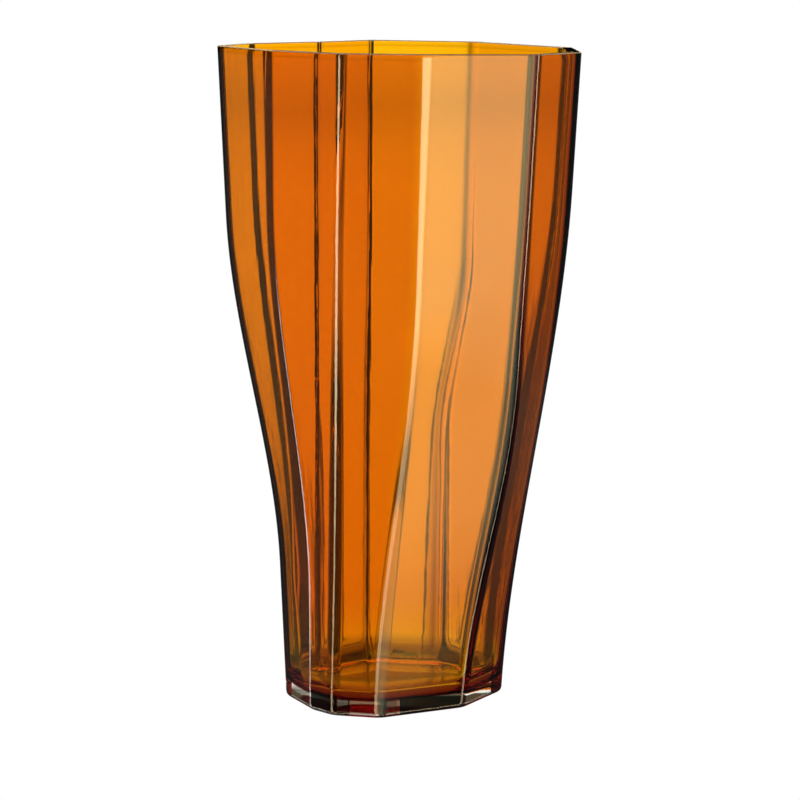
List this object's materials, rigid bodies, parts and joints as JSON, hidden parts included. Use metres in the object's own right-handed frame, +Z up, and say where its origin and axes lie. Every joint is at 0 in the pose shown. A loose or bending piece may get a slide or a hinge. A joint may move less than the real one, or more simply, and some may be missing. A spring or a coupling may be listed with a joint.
{
  "type": "art glass vase",
  "caption": "Tall hand blown vase in amber glass cased in clear glass, with soft upright creases, flat panels, a narrow thick foot and a wide open mouth.",
  "frame": {"origin": "centre of the vase's bounding box, on the plane of the underside", "axes": "+Z up from the underside to the lip, -Y towards the front, +X to the right as seen from the front"},
  "size_m": [0.1632, 0.1568, 0.3],
  "materials": {
    "clear_glass": "fire polished",
    "amber_glass": "fire polished"
  },
  "bodies": {
    "root": {"clear_casing": "clear_glass", "amber_lining": "amber_glass"}
  },
  "joints": []
}
